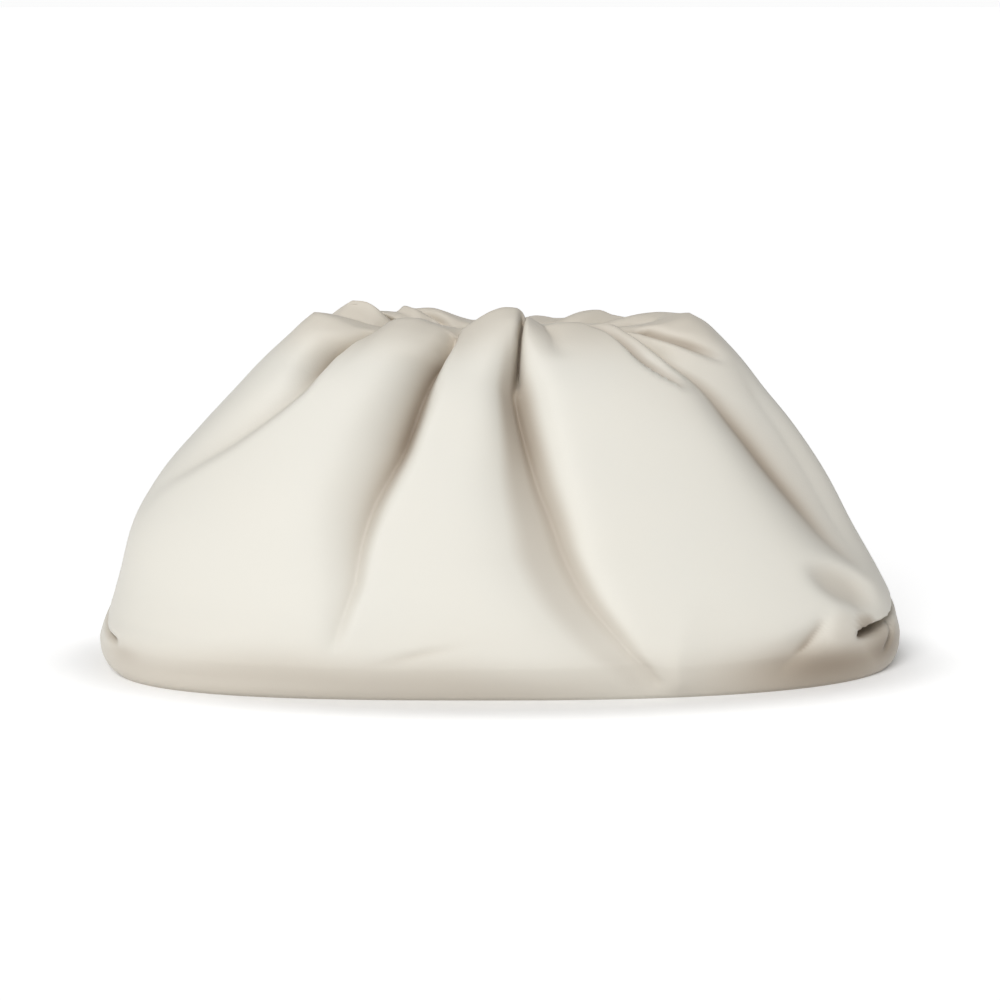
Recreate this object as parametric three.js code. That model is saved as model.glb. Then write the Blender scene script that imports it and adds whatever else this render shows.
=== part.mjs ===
// A soft leather clutch. Its front and back are gathered into rolled lips at the mouth, where their
// turned-in hems hide a plain closed frame, and they are tucked under at the two lower corners. The
// front, the back and the flat base are three solids that meet along fine seams, so that the collision
// pieces made from them leave the hollow and the mouth open.
// Millimetres, +Z up, front facing -Y. The origin is the middle of the foot, on the floor.
import * as THREE from "three";

// Driving sizes of the bag.
const bagWidth = 380; // across the corner lobes
const bagDepth = 160; // front to back, a little above the floor
const bagHeight = 168; // floor to the crest of the lips
const leather = 2; // thickness of the sheet
const seam = 0.3; // between the front and the back at the bag's two ends
const baseInset = 1.6; // from the foot's outline to the base
const foldDepth = 16; // deepest gather of the front and back
const tuckDepth = 13; // how far the corner tucks reach in

// Driving sizes of the mouth and its frame.
const mouthLength = 190; // across the gathered lips
const lipSpacing = 28; // between the crests of the front and back lips
const lipEnd = 25; // closed lip at each end of the opening
const mouthGap = 6; // width of the opening between the front and back hems
const lipRoll = 10; // how far the lip rolls down from its crest to the top of the hem
const barWidth = 5; // of the frame's section
const barHeight = 8; // of the frame's section
const barClearance = 0.45; // between the frame and the upright hem that holds it
const frameEndRoom = 3; // extra length of the frame past each end of the hem
const hemAbove = 2.5; // hem that shows above the frame
const hemBelow = 0.5; // hem that shows below the frame

const slitLength = mouthLength - 2 * lipEnd;
const hemBand = hemAbove + barHeight + hemBelow;

// Plain sections of the wall, from the floor to the crest. at is the share of bagHeight. left, right,
// front and back are the share of the way from the mouth's size to the foot's size, and the square
// columns are superellipse exponents, 2 being an ellipse.
const wallSections = [
  { at: 0.0, left: 0.91, right: 0.88, front: 0.78, back: 0.78, squareLeft: 2.6, squareRight: 1.95 },
  { at: 0.02, left: 0.97, right: 0.95, front: 0.89, back: 0.89, squareLeft: 2.6, squareRight: 1.95 },
  { at: 0.055, left: 1.0, right: 1.0, front: 0.955, back: 0.955, squareLeft: 2.6, squareRight: 2.0 },
  { at: 0.12, left: 1.0, right: 1.0, front: 1.0, back: 1.0, squareLeft: 2.6, squareRight: 2.1 },
  { at: 0.18, left: 0.95, right: 0.975, front: 0.99, back: 0.995, squareLeft: 2.5, squareRight: 2.2 },
  { at: 0.26, left: 0.91, right: 0.915, front: 0.965, back: 0.97, squareLeft: 2.4, squareRight: 2.3 },
  { at: 0.4, left: 0.845, right: 0.78, front: 0.88, back: 0.89, squareLeft: 2.3, squareRight: 2.3 },
  { at: 0.54, left: 0.715, right: 0.64, front: 0.765, back: 0.78, squareLeft: 2.3, squareRight: 2.3 },
  { at: 0.68, left: 0.52, right: 0.485, front: 0.61, back: 0.62, squareLeft: 2.4, squareRight: 2.4 },
  { at: 0.79, left: 0.345, right: 0.335, front: 0.475, back: 0.48, squareLeft: 2.5, squareRight: 2.5 },
  { at: 0.87, left: 0.215, right: 0.23, front: 0.35, back: 0.35, squareLeft: 2.6, squareRight: 2.6 },
  { at: 0.94, left: 0.095, right: 0.125, front: 0.215, back: 0.215, squareLeft: 2.8, squareRight: 2.8 },
  { at: 0.985, left: 0.02, right: 0.055, front: 0.085, back: 0.085, squareLeft: 3.0, squareRight: 3.0 },
  { at: 1.0, left: -0.03, right: 0.0, front: 0.0, back: 0.0, squareLeft: 3.0, squareRight: 3.0 },
];

// The rolled lip, from the crest over and down into the mouth, and then the upright hem. inward is the
// share of the way from the crest to the hem, roll the share of lipRoll and hem the share of hemBand
// that the row lies below the crest, and gather how much of the folds is left.
const lipSections = [
  { inward: 0.42, roll: 0.16, hem: 0.0, gather: 0.5 },
  { inward: 0.8, roll: 0.55, hem: 0.0, gather: 0.2 },
  { inward: 1.0, roll: 1.0, hem: 0.0, gather: 0.0 },
  { inward: 1.0, roll: 1.0, hem: 0.16, gather: 0.0 },
  { inward: 1.0, roll: 1.0, hem: 1.0, gather: 0.0 },
];

// Heights, as shares of bagHeight, for the five figures of a fold's path and depth below.
const stations = [1.0, 0.85, 0.6, 0.35, 0.1];

// Gathers of the front, from the left end to the right. path is the place of the valley's line along
// the front, from -1 at the left end to 1 at the right, depth the share of foldDepth, left and right
// the widths of its two flanks at the crest and the foot, as shares of half the front. pinch is how much
// of a flank's width is drawn in over the valley, below 1, and columns the number of mesh columns from
// here to the next guide, with none for a short fold that guides nothing.
const frontFolds = [
  { path: [-0.6, -0.62, -0.79, -0.86, -0.8], depth: [0.4, 0.75, 0.42, 0.12, 0.0],
    left: [0.11, 0.1], right: [0.06, 0.06], pinch: 0.3, columns: 10 },
  { path: [-0.16, -0.25, -0.315, -0.345, -0.35], depth: [0.4, 0.9, 0.8, 0.5, 0.06],
    left: [0.11, 0.12], right: [0.05, 0.06], pinch: 0.3, columns: 8 },
  { path: [0.065, 0.055, 0.1, 0.165, 0.29], depth: [0.5, 1.0, 0.75, 0.6, 0.16],
    left: [0.07, 0.12], right: [0.05, 0.08], pinch: 0.8, columns: 10 },
  { path: [0.2, 0.19, 0.19, 0.19, 0.19], depth: [0.3, 0.12, 0.0, 0.0, 0.0],
    left: [0.04, 0.04], right: [0.05, 0.05], pinch: 0.0, columns: 0 },
  { path: [0.38, 0.54, 0.6, 0.68, 0.72], depth: [0.3, 0.55, 0.2, 0.05, 0.0],
    left: [0.03, 0.06], right: [0.09, 0.08], pinch: 0.5, columns: 4 },
  { path: [0.57, 0.63, 0.69, 0.79, 0.8], depth: [0.25, 0.5, 0.75, 0.3, 0.0],
    left: [0.06, 0.07], right: [0.08, 0.09], pinch: 0.2, columns: 9 },
  { path: [0.66, 0.8, 0.88, 0.88, 0.88], depth: [0.12, 0.22, 0.0, 0.0, 0.0],
    left: [0.08, 0.05], right: [0.08, 0.06], pinch: 0.0, columns: 0 },
];

// Gathers of the back, read in the same way.
const backFolds = [
  { path: [-0.66, -0.68, -0.74, -0.8, -0.78], depth: [0.35, 0.65, 0.45, 0.15, 0.0],
    left: [0.08, 0.08], right: [0.08, 0.08], pinch: 0.2, columns: 7 },
  { path: [-0.3, -0.36, -0.42, -0.46, -0.5], depth: [0.4, 0.85, 0.65, 0.3, 0.0],
    left: [0.07, 0.08], right: [0.1, 0.11], pinch: 0.4, columns: 7 },
  { path: [0.04, 0.02, -0.03, -0.06, -0.08], depth: [0.4, 0.9, 0.75, 0.45, 0.08],
    left: [0.1, 0.12], right: [0.06, 0.08], pinch: 0.5, columns: 7 },
  { path: [0.33, 0.37, 0.43, 0.5, 0.54], depth: [0.35, 0.75, 0.5, 0.2, 0.0],
    left: [0.07, 0.08], right: [0.08, 0.09], pinch: 0.3, columns: 7 },
  { path: [0.64, 0.67, 0.74, 0.82, 0.78], depth: [0.3, 0.55, 0.45, 0.15, 0.0],
    left: [0.08, 0.08], right: [0.07, 0.08], pinch: 0.2, columns: 9 },
];
const endColumns = 8; // mesh columns from the left end of the bag to the first guide

// Soft valleys that run down the two ends, between the front and the back.
const endFolds = [
  { end: -1, depth: [0.2, 0.32, 0.22, 0.1, 0.0], width: 0.1 },
  { end: 1, depth: [0.2, 0.32, 0.24, 0.12, 0.0], width: 0.1 },
];

// Tucks at the lower corners. at is the height of the tuck's line at the end of the bag, as a share of
// bagHeight. On the front and on the back it climbs so much for each half front away from the end and
// reaches so far, as a share of half the front. width is its half-width as a share of bagHeight.
const cornerTucks = [
  { end: -1, at: 0.172, front: { climb: -0.24, reach: 0.2 }, back: { climb: -0.06, reach: 0.26 }, width: 0.026 },
  { end: 1, at: 0.15, front: { climb: -0.04, reach: 0.24 }, back: { climb: -0.04, reach: 0.26 }, width: 0.026 },
];

// Broad dents beside the tucks, each along a line on the front from one place to another. share and
// height place its two ends, width is a share of bagHeight, and depth a share of foldDepth.
const frontDents = [
  { from: { share: 0.69, height: 0.33 }, to: { share: 0.8, height: 0.2 }, width: 0.06, depth: 0.3 },
  { from: { share: 0.6, height: 0.06 }, to: { share: 0.68, height: 0.2 }, width: 0.05, depth: 0.16 },
];

// Heights of the mesh rows on the wall, as shares of bagHeight, closest at the tucks and the lips.
const wallRows = [
  0.0, 0.02, 0.055, 0.095, 0.124, 0.148, 0.172, 0.205, 0.26, 0.33, 0.41, 0.49, 0.57, 0.65, 0.72,
  0.785, 0.84, 0.89, 0.93, 0.965, 0.988, 1.0,
];

const smooth = (low, high, value) => THREE.MathUtils.smoothstep(value, low, high);

// Reads one column of a table at a place between its rows, on a smooth curve through them.
function readTable(places, values, place) {
  const rising = places[places.length - 1] > places[0];
  const xs = rising ? places : [...places].reverse();
  const ys = rising ? values : [...values].reverse();
  const last = xs.length - 1;
  if (place <= xs[0]) return ys[0];
  if (place >= xs[last]) return ys[last];
  const k = xs.findIndex((x) => x > place) - 1;
  const step = (i) => (ys[i + 1] - ys[i]) / (xs[i + 1] - xs[i]);
  const slope = (i) => {
    if (i === 0) return step(0);
    if (i === last) return step(last - 1);
    return step(i - 1) * step(i) <= 0 ? 0 : (2 * step(i - 1) * step(i)) / (step(i - 1) + step(i));
  };
  const span = xs[k + 1] - xs[k];
  const u = (place - xs[k]) / span;
  const start = (1 + 2 * u) * (1 - u) ** 2 * ys[k] + u * (1 - u) ** 2 * span * slope(k);
  return start + u ** 2 * (3 - 2 * u) * ys[k + 1] + u ** 2 * (u - 1) * span * slope(k + 1);
}

// Half of a level outline, from the left end to the right end, round the front or the back.
class HalfOutline extends THREE.Curve {
  constructor({ left, right, depth, squareLeft, squareRight }, side) {
    super();
    Object.assign(this, { left, right, depth, squareLeft, squareRight, side });
    this.arcLengthDivisions = 160;
  }

  getPoint(u, target = new THREE.Vector2()) {
    const angle = Math.PI * (1 - u);
    const cosine = Math.cos(angle);
    const power = 2 / (cosine < 0 ? this.squareLeft : this.squareRight);
    const reach = Math.abs(cosine) ** power * (cosine < 0 ? -this.left : this.right);
    return target.set(reach, this.side * this.depth * Math.abs(Math.sin(angle)) ** power);
  }
}

const FRONT = -1;
const BACK = 1;

// The plain wall's half outline at a height.
function wallOutline(height, side) {
  const column = (name) =>
    readTable(wallSections.map((row) => row.at), wallSections.map((row) => row[name]), height);
  const width = (share) => THREE.MathUtils.lerp(mouthLength / 2, bagWidth / 2, share);
  return new HalfOutline({
    left: width(column("left")),
    right: width(column("right")),
    depth: THREE.MathUtils.lerp(lipSpacing / 2, bagDepth / 2, column(side === FRONT ? "front" : "back")),
    squareLeft: column("squareLeft"),
    squareRight: column("squareRight"),
  }, side);
}

// The half outline of the slit between the front and back hems, grown by a margin all round and by some
// more at its two ends.
const hemSquare = 4;
function hemOutline(side, margin = 0, endRoom = 0) {
  return new HalfOutline({
    left: slitLength / 2 + margin + endRoom,
    right: slitLength / 2 + margin + endRoom,
    depth: mouthGap / 2 + margin,
    squareLeft: hemSquare,
    squareRight: hemSquare,
  }, side);
}

// Cross-section of a valley: 1 on its line, falling to 0 over a few widths, with a rounded bottom.
const valleyRound = 0.55;
const valleyFall = 1.35;
const valley = (x) => Math.exp(-(Math.sqrt(x * x + valleyRound ** 2) - valleyRound) * valleyFall);

// How far the leather is pushed in, and how far it is drawn sideways, by the folds at one place. The
// folds fade out close to the two ends.
const endCalm = 0.1;
function gathers(folds, { share, height, half }) {
  let inward = 0;
  let sideways = 0;
  const calm = smooth(0, endCalm, 1 - Math.abs(share));
  for (const fold of folds) {
    const depth = readTable(stations, fold.depth, height) * calm;
    const offset = share - readTable(stations, fold.path, height);
    const [atCrest, atFoot] = offset < 0 ? fold.left : fold.right;
    const flank = THREE.MathUtils.lerp(atFoot, atCrest, height);
    const x = offset / flank;
    inward += depth * foldDepth * valley(x);
    sideways -= fold.pinch * depth * flank * half * x * Math.exp(-x * x);
  }
  return { inward, sideways };
}

// The height of a tuck's line at a place along the front or back.
const tuckHeight = (tuck, share, side) =>
  tuck.at + (side === FRONT ? tuck.front : tuck.back).climb * (1 - Math.abs(share));

// How far the leather is pushed in by the tucks, end folds and dents at one place.
const tuckFade = { from: 0.3, to: 1.2 }; // where a tuck fades out, as shares of its reach
const halfFront = (bagWidth + bagDepth) / 2 / bagHeight; // length of half the front, in bag heights
function dents(share, height, side) {
  let inward = 0;
  const fromEnd = 1 - Math.abs(share);
  for (const fold of endFolds) {
    if (Math.sign(share) !== fold.end) continue;
    inward += readTable(stations, fold.depth, height) * foldDepth * valley(fromEnd / fold.width);
  }
  for (const tuck of cornerTucks) {
    if (Math.sign(share) !== tuck.end) continue;
    const { reach } = side === FRONT ? tuck.front : tuck.back;
    const deep = tuckDepth * (1 - smooth(tuckFade.from * reach, tuckFade.to * reach, fromEnd));
    inward += deep * valley((height - tuckHeight(tuck, share, side)) / tuck.width);
  }
  if (side === BACK) return inward;
  for (const { from, to, width, depth } of frontDents) {
    const along = new THREE.Line3(
      new THREE.Vector3(from.share * halfFront, from.height, 0),
      new THREE.Vector3(to.share * halfFront, to.height, 0),
    );
    const here = new THREE.Vector3(share * halfFront, height, 0);
    const nearest = along.closestPointToPoint(here, true, new THREE.Vector3());
    inward += depth * foldDepth * Math.exp(-((nearest.distanceTo(here) / width) ** 2));
  }
  return inward;
}

// Places of the mesh columns of one side at a height. They follow the valleys' lines and crowd there.
const crowding = 0.45;
function columnShares(folds, height) {
  const guides = folds.filter((fold) => fold.columns > 0);
  const stops = [-1, ...guides.map((fold) => readTable(stations, fold.path, height)), 1];
  const counts = [endColumns, ...guides.map((fold) => fold.columns)];
  return counts.flatMap((count, gap) =>
    Array.from({ length: count }, (_, i) => {
      const u = i / count - (crowding * Math.sin((2 * Math.PI * i) / count)) / (2 * Math.PI);
      return THREE.MathUtils.lerp(stops[gap], stops[gap + 1], u);
    }),
  );
}

// The shares of one panel's columns at a height, from left to right on the front and from right to left
// on the back, so that both panels' grids face outwards in the same way.
function panelShares(side, height) {
  const shares = [...columnShares(side === FRONT ? frontFolds : backFolds, height), 1];
  return side === FRONT ? shares : shares.reverse();
}

// Rows near a tuck are lifted to follow its line, so that one row runs along the tuck's bottom.
const tuckRow = 0.148;
const liftHeights = { from: 0.02, full: 0.11, easing: 0.19, to: 0.4 };
const liftReach = { full: 0.25, to: 0.5 }; // from the end, as shares of half the front
function liftedHeight(height, share, side) {
  const tuck = cornerTucks.find((row) => row.end === (share < 0 ? -1 : 1));
  const lift = tuckHeight(tuck, share, side) - tuckRow;
  const { from, full, easing, to } = liftHeights;
  const near = smooth(from, full, height) * (1 - smooth(easing, to, height));
  return height + lift * near * (1 - smooth(liftReach.full, liftReach.to, 1 - Math.abs(share)));
}

const unitTangent = (before, after) => after.clone().sub(before).normalize();

// The grid's tangents and outward normal at one vertex, from its neighbours. The grid goes on past its
// two ends as its own mirror image, as the other panel does.
function frameAt(grid, row, column) {
  const line = grid[row];
  const last = line.length - 1;
  const mirrored = (point) => point.clone().setY(-point.y);
  const before = column > 0 ? line[column - 1] : mirrored(line[1]);
  const after = column < last ? line[column + 1] : mirrored(line[last - 1]);
  const above = grid[Math.min(row + 1, grid.length - 1)][column];
  const below = grid[Math.max(row - 1, 0)][column];
  const along = unitTangent(before, after);
  const up = unitTangent(below, above);
  return { along, normal: along.clone().cross(up).normalize() };
}

// One plain panel as rows of places, from the foot over the wall and the lip to the end of the hem. Each
// place also says how much of the folds it takes, and half is half the front's length at its height.
const footCalm = 0.05; // the folds fade out from here down to the foot
function plainRows(side) {
  const outlines = new Map();
  const outlineAt = (level) => {
    const key = level.toFixed(4);
    if (!outlines.has(key)) outlines.set(key, wallOutline(level, side));
    return outlines.get(key);
  };
  const rows = wallRows.map((height) => panelShares(side, height).map((share) => {
    const level = liftedHeight(height, share, side);
    const outline = outlineAt(level);
    const point = outline.getPointAt((share + 1) / 2);
    const plain = new THREE.Vector3(point.x, point.y, level * bagHeight);
    return { plain, share, half: outline.getLength() / 2, height: level, gather: smooth(0, footCalm, height) };
  }));
  const crest = rows[rows.length - 1];
  const hemLine = hemOutline(side);
  for (const { inward, roll, hem, gather } of lipSections) {
    const level = bagHeight - roll * lipRoll - hem * hemBand;
    rows.push(crest.map(({ plain, share, half }) => {
      const slit = hemLine.getPointAt((share + 1) / 2);
      const point = plain.clone().lerp(new THREE.Vector3(slit.x, slit.y, level), inward);
      return { plain: point.setZ(level), share, half, height: 1, gather };
    }));
  }
  return rows;
}

// A panel's outer face as rows of points, with the folds, tucks and dents pushed in.
function outerFace(side) {
  const rows = plainRows(side);
  const plain = rows.map((row) => row.map((place) => place.plain));
  return rows.map((row, i) => row.map((place, j) => {
    if (!place.gather) return place.plain.clone();
    const { share, height, gather } = place;
    const { along, normal } = frameAt(plain, i, j);
    const folded = gathers(side === FRONT ? frontFolds : backFolds, place);
    const inward = (folded.inward + dents(share, height, side)) * gather;
    return place.plain.clone()
      .addScaledVector(normal, -inward)
      .addScaledVector(along, folded.sideways * gather * -side);
  }));
}

// The inner face: each outer point moved inwards by the leather's thickness.
function innerFace(outer) {
  return outer.map((row, i) =>
    row.map((point, j) => point.clone().addScaledVector(frameAt(outer, i, j).normal, -leather)));
}

// Moves the two ends of each row off the middle plane, so that the panels don't touch.
function openSeams(rows, side) {
  for (const row of rows) {
    for (const point of [row[0], row[row.length - 1]]) point.setY((side * seam) / 2);
  }
  return rows;
}

// The front or back panel as one closed shell: its outer face, its inner face and the edges that join
// them at the foot, the hem and the two ends.
function panelGeometry(side) {
  const outer = outerFace(side);
  const inner = innerFace(outer);
  const faces = [];
  const rows = outer.length;
  const columns = outer[0].length;
  const outside = (i, j) => i * columns + j;
  const inside = (i, j) => (rows + i) * columns + j;
  const quad = (a, b, c, d) => faces.push(a, b, c, a, c, d);
  for (let i = 0; i + 1 < rows; i += 1) {
    for (let j = 0; j + 1 < columns; j += 1) {
      quad(outside(i, j), outside(i, j + 1), outside(i + 1, j + 1), outside(i + 1, j));
      quad(inside(i, j), inside(i + 1, j), inside(i + 1, j + 1), inside(i, j + 1));
    }
    const end = columns - 1;
    quad(outside(i, 0), outside(i + 1, 0), inside(i + 1, 0), inside(i, 0));
    quad(outside(i, end), inside(i, end), inside(i + 1, end), outside(i + 1, end));
  }
  for (let j = 0; j + 1 < columns; j += 1) {
    const hem = rows - 1;
    quad(outside(0, j), inside(0, j), inside(0, j + 1), outside(0, j + 1));
    quad(outside(hem, j), outside(hem, j + 1), inside(hem, j + 1), inside(hem, j));
  }
  const points = [...openSeams(outer, side), ...openSeams(inner, side)].flat();
  return new THREE.BufferGeometry().setFromPoints(points).setIndex(faces);
}

// The flat base, just inside the feet of the two panels.
const baseSteps = 36;
function baseGeometry() {
  const half = (side) => {
    const outline = wallOutline(0, side);
    for (const reach of ["left", "right", "depth"]) outline[reach] -= baseInset;
    return outline.getSpacedPoints(baseSteps);
  };
  const loop = [...half(FRONT).slice(0, -1), ...half(BACK).reverse().slice(0, -1)];
  return new THREE.ExtrudeGeometry(new THREE.Shape(loop), { depth: leather, bevelEnabled: false });
}

// The hidden frame: one flat closed ring round the slit, hung inside the hem.
const frameSteps = 40;
function frameGeometry() {
  const loop = (margin) => {
    const half = (side) => hemOutline(side, margin, frameEndRoom).getSpacedPoints(frameSteps);
    return [...half(FRONT).slice(0, -1), ...half(BACK).reverse().slice(0, -1)];
  };
  const inside = leather + barClearance;
  const shape = new THREE.Shape(loop(inside + barWidth));
  shape.holes.push(new THREE.Path(loop(inside).reverse()));
  return new THREE.ExtrudeGeometry(shape, { depth: barHeight, bevelEnabled: false });
}

const leatherFinish = new THREE.MeshStandardMaterial({ color: 0xe6e0d2, roughness: 0.55, metalness: 0 });
const steelFinish = new THREE.MeshStandardMaterial({ color: 0xb9b5aa, roughness: 0.35, metalness: 1 });

const frontPanel = new THREE.Mesh(panelGeometry(FRONT), leatherFinish);
frontPanel.name = "front_panel";

const backPanel = new THREE.Mesh(panelGeometry(BACK), leatherFinish);
backPanel.name = "back_panel";

const basePanel = new THREE.Mesh(baseGeometry(), leatherFinish);
basePanel.name = "base_panel";

const frame = new THREE.Mesh(frameGeometry(), steelFinish);
frame.name = "mouth_frame";
frame.position.z = bagHeight - lipRoll - hemAbove - barHeight;

const bag = new THREE.Group();
bag.add(frontPanel, backPanel, basePanel, frame);

export default bag;
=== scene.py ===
"""A soft gathered leather clutch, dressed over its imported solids.

Everything is in metres in the frame of the solids: +Z up, front facing -Y, and the origin in the middle
of the foot, on the floor. The leather is one sheet: it runs from the hem inside the mouth over the front
lip and down the front, across the base, and up the back to the other hem, and it is closed at both ends.
"""

import logging
import math
from dataclasses import dataclass
from enum import Enum
from typing import NamedTuple

import bmesh
import bpy
import numpy as np
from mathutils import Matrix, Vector


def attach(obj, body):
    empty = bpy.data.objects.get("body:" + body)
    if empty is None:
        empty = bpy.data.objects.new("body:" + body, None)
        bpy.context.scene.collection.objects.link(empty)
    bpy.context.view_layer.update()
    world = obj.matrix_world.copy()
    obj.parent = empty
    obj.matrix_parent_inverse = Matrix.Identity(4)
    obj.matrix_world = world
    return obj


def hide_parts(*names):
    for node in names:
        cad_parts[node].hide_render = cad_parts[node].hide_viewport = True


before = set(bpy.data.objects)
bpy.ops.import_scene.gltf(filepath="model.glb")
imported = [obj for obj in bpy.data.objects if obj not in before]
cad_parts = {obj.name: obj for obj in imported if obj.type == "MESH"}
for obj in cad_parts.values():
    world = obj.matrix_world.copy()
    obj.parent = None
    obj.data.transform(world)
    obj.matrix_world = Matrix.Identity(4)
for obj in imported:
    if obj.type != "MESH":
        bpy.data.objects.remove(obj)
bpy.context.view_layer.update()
MM = 0.001

Grid = dict[str, np.ndarray]
Colour = tuple[float, float, float, float]

log = logging.getLogger("clutch")


class Side(Enum):
    """The two halves of the sheet. The value is the way that the half faces along Y."""

    FRONT = -1
    BACK = 1


class Section(NamedTuple):
    """The plain wall at one height.

    at is the share of the bag's height. left, right, front and back are shares of the way from the mouth's
    size to the foot's size, and the two square columns are superellipse exponents, 2 being an ellipse.
    """

    at: float
    left: float
    right: float
    front: float
    back: float
    square_left: float
    square_right: float


WALL = (
    Section(0.000, 0.925, 0.960, 0.860, 0.860, 3.00, 2.30),
    Section(0.020, 0.968, 0.995, 0.897, 0.897, 2.90, 2.25),
    Section(0.055, 1.005, 1.015, 0.943, 0.943, 2.60, 2.20),
    Section(0.085, 1.008, 1.018, 0.975, 0.975, 2.60, 2.15),
    Section(0.105, 1.000, 1.012, 0.994, 0.994, 2.60, 2.15),
    Section(0.130, 0.985, 1.000, 1.000, 1.000, 2.60, 2.15),
    Section(0.180, 0.950, 0.975, 0.997, 0.998, 2.50, 2.20),
    Section(0.260, 0.906, 0.905, 0.965, 0.970, 2.40, 2.30),
    Section(0.400, 0.837, 0.762, 0.880, 0.890, 2.30, 2.30),
    Section(0.540, 0.696, 0.628, 0.765, 0.780, 2.30, 2.30),
    Section(0.680, 0.483, 0.460, 0.610, 0.620, 2.40, 2.40),
    Section(0.790, 0.300, 0.300, 0.475, 0.480, 2.50, 2.50),
    Section(0.870, 0.167, 0.190, 0.350, 0.350, 2.60, 2.60),
    Section(0.940, 0.035, 0.077, 0.215, 0.215, 2.80, 2.80),
    Section(0.975, -0.030, 0.010, 0.110, 0.110, 3.00, 3.00),
    Section(1.000, -0.085, -0.070, 0.000, 0.000, 3.00, 3.00),
)


class Station(NamedTuple):
    """One place on a fold's line, which is the bottom of its valley.

    height is 0 at the foot, 1 at the crest of the lip and LIP_END where the lip meets the hem. share is the
    place along the front or back, from -1 at the left end to 1 at the right. depth is how far the leather
    is pushed in, and left and right are the widths of the two flanks, all three in millimetres.
    """

    height: float
    share: float
    depth: float
    left: float
    right: float


LIP_END = 1.12
HEM_STEP = 0.02


@dataclass(frozen=True)
class Fold:
    """A gather, crease or, with negative depths, a ridge of the leather.

    Attributes:
        name: what a maker would call it.
        stations: its line, from the mouth down.
        left_edge: softness of the left flank's upper edge, from 0.1, a crisp one, to 0.5.
        right_edge: softness of the right flank's upper edge.
        left_lean: how far the left flank's edge leans over the valley, in millimetres.
        right_lean: how far the right flank's edge leans over it.
        crowd: how strongly the mesh's columns crowd to it.
        tone: how much shade is painted on its left flank, which the light doesn't reach.
        right_tone: how much of that its right flank gets.
        left_tone: how much of it reaches over the whole left flank.
    """

    name: str
    stations: tuple[Station, ...]
    left_edge: float = 0.3
    right_edge: float = 0.3
    left_lean: float = 0.0
    right_lean: float = 0.0
    crowd: float = 1.0
    tone: float = 1.0
    right_tone: float = 0.9
    left_tone: float = 0.0

    def column(self, name: str, height: np.ndarray) -> np.ndarray:
        """Reads one column of the stations at some heights, in the units of Station."""
        return read_rows(self.stations, "height", name, height)


@dataclass(frozen=True)
class FoldForm:
    """What all folds share, their painted shade among it, in flank widths from a fold's line where nothing
    else is said.

    Attributes:
        bottom: roundness of the valley's bottom.
        lean_from: where an edge's lean sets in.
        lean_to: where it dies out.
        core: half-width of the darkest strip of painted shade, along the line.
        right_full: how far out the right flank keeps its tone.
        left_full: how far out a flank with a left_tone keeps it.
        flank_end: where both have lost it.
        near_width: half-width of the near part of the left flank's tone.
        near_share: strength of that part.
        wide_width: half-width of the wide part.
        wide_share: strength of that part.
        shallow: the depth up to which no shade is painted, in millimetres.
        full_depth: how much more depth gives the full painted shade, in millimetres.
    """

    bottom: float = 0.006
    lean_from: float = 0.7
    lean_to: float = 2.5
    core: float = 0.25
    right_full: float = 0.35
    left_full: float = 0.55
    flank_end: float = 1.15
    near_width: float = 0.45
    near_share: float = 0.55
    wide_width: float = 1.1
    wide_share: float = 0.2
    shallow: float = 1.0
    full_depth: float = 15.0

    def section(self, x: np.ndarray, left_edge: float, right_edge: float) -> np.ndarray:
        """Cross-section of a fold: 1 on its line, with straight flanks that end at -1 and 1.

        Args:
            x: places, in flank widths from the line.
            left_edge: softness of the left flank's upper edge.
            right_edge: softness of the right flank's upper edge.

        Returns:
            The share of the fold's depth at each place.
        """
        edge = np.where(x < 0, left_edge, right_edge)
        run = np.sqrt(x * x + self.bottom) - math.sqrt(self.bottom)
        return np.log1p(np.exp((1.0 - run) / edge)) / np.log1p(np.exp(1.0 / edge))

    def lean(self, x: np.ndarray) -> np.ndarray:
        """How much of an edge's lean each place takes."""
        return (1.0 - bell(x, self.lean_from)) * bell(x, self.lean_to)

    def shade(self, x: np.ndarray, right_tone: float, left_tone: float) -> np.ndarray:
        """How the painted shade of a full-depth fold runs across its width.

        Args:
            x: places, in flank widths from the line.
            right_tone: as in Fold.
            left_tone: as in Fold.

        Returns:
            The tone at each place, 1 on the line.
        """
        core = bell(x, self.core)
        right = core + (1.0 - core) * right_tone * (1.0 - smooth_step(self.right_full, self.flank_end, x))
        near, wide = self.near_share * bell(x, self.near_width), self.wide_share * bell(x, self.wide_width)
        left = near + wide + (1.0 - self.near_share - self.wide_share) * core
        left = np.maximum(left, left_tone * (1.0 - smooth_step(self.left_full, self.flank_end, -x)))
        return np.where(x < 0, left, right)

    def strength(self, depth: np.ndarray) -> np.ndarray:
        """How much of its painted shade a fold has at some depths, in metres."""
        return np.clip((depth - self.shallow * MM) / (self.full_depth * MM), 0.0, 1.0)


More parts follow.
